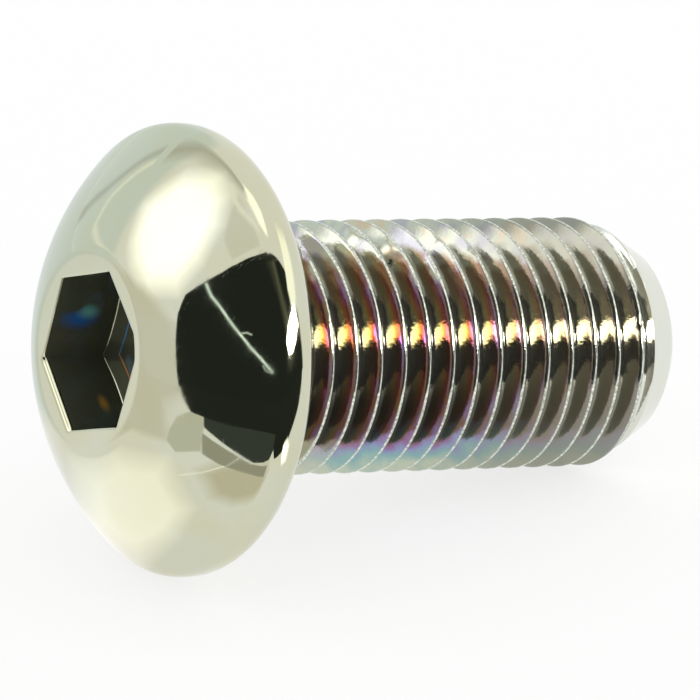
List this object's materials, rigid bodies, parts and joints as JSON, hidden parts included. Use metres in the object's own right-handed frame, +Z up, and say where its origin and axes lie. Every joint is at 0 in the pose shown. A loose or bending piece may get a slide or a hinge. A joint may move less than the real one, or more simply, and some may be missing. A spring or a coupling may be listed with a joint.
{
  "type": "button head screw",
  "caption": "Low domed button head machine screw with a hexagon socket, a fine right-hand thread close up to the head and a pointed tip, lying on its rim and thread.",
  "frame": {"origin": "middle of the screw's bounding box, on the surface it lies on", "axes": "+Z up; +X towards the tip along the surface, with the screw's own axis dipping about 11.6 degrees below +X because it lies on the rim of its head and the end of its thread"},
  "size_m": [0.0246, 0.0166, 0.0163],
  "materials": {
    "plated_steel": "mirror-bright plating over a cold-formed and thread-rolled steel blank, with faint straw and violet tints in the thread"
  },
  "bodies": {
    "root": {"screw": "plated_steel"}
  },
  "joints": []
}
